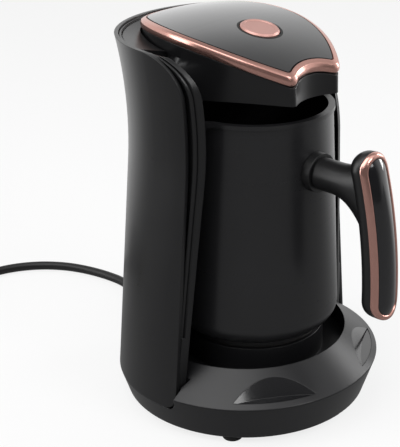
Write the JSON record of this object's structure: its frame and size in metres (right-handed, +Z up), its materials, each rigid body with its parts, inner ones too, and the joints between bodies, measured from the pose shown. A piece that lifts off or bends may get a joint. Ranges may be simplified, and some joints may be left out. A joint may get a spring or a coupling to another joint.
{
  "type": "electric turkish coffee maker",
  "caption": "Round base with a heated plate, C-shaped tower with a head that reaches over a spouted pot with a tall bowed handle, a round start button and a mains lead",
  "frame": {"origin": "centre of the bounding box of the machine and its pot, without the mains lead, on the surface that the feet stand on", "axes": "+Z up, -Y front, the side that the handle points to and the pot pulls out of, +X the machine's own left, which is to the right of someone who faces it"},
  "size_m": [0.253, 0.4256, 0.2274],
  "materials": {
    "board": "green circuit board",
    "body_plastic": "satin black moulded plastic",
    "brass": "nickelled brass",
    "column_plastic": "fine satin black plastic",
    "cord_rubber": "black flexible sheath",
    "element_steel": "heat-tinted steel tube",
    "heater_metal": "dark anodised aluminium",
    "panel_gloss": "high gloss dark grey",
    "pot_coating": "dark grey satin non-stick coating on aluminium",
    "relay_plastic": "black component plastic",
    "rose_button": "matte rose gold",
    "rose_metal": "satin rose gold",
    "rubber": "black rubber",
    "sheet_metal": "galvanised sheet",
    "silicone": "red-brown silicone",
    "spring_steel": "spring wire",
    "steel": "plain steel"
  },
  "bodies": {
    "machine": {"base_bottom_cover": "body_plastic", "base_housing": "body_plastic", "base_screws": "steel", "button_guide": "column_plastic", "button_spring": "spring_steel", "buzzer": "relay_plastic", "column_front": "column_plastic", "control_board": "board", "cord_coil": "cord_rubber", "cord_tie": "column_plastic", "head_housing": "column_plastic", "head_trim": "rose_metal", "heat_shield": "sheet_metal", "heater_clamp": "steel", "heater_plate": "heater_metal", "heater_screws": "steel", "heater_seal": "silicone", "heating_element": "element_steel", "plug_body": "cord_rubber", "plug_pins": "brass", "power_board": "board", "power_cord": "cord_rubber", "rear_cover": "body_plastic", "relay": "relay_plastic", "rubber_feet": "rubber", "sensor_window": "panel_gloss", "strain_relief": "rubber", "tact_switch": "relay_plastic", "temperature_sensor": "steel", "terminal_block": "relay_plastic", "top_panel": "panel_gloss"},
    "button": {"start_button": "rose_button"},
    "pot": {"pot_body": "pot_coating", "pot_stud": "steel", "pot_collar": "column_plastic", "handle_body": "column_plastic", "handle_trim": "rose_metal", "handle_inlay": "panel_gloss", "handle_screw": "steel"}
  },
  "joints": [
    {"name": "pot_pull", "type": "slide", "parent": "machine", "child": "pot", "axis": [0, -1, 0], "range_m": [0, 0.15]},
    {"name": "button_press", "type": "slide", "parent": "machine", "child": "button", "axis": [0, 0.2258, -0.9742], "range_m": [0, 0.001], "stiffness_N_per_m": 800, "deforming": ["button_spring"]}
  ]
}
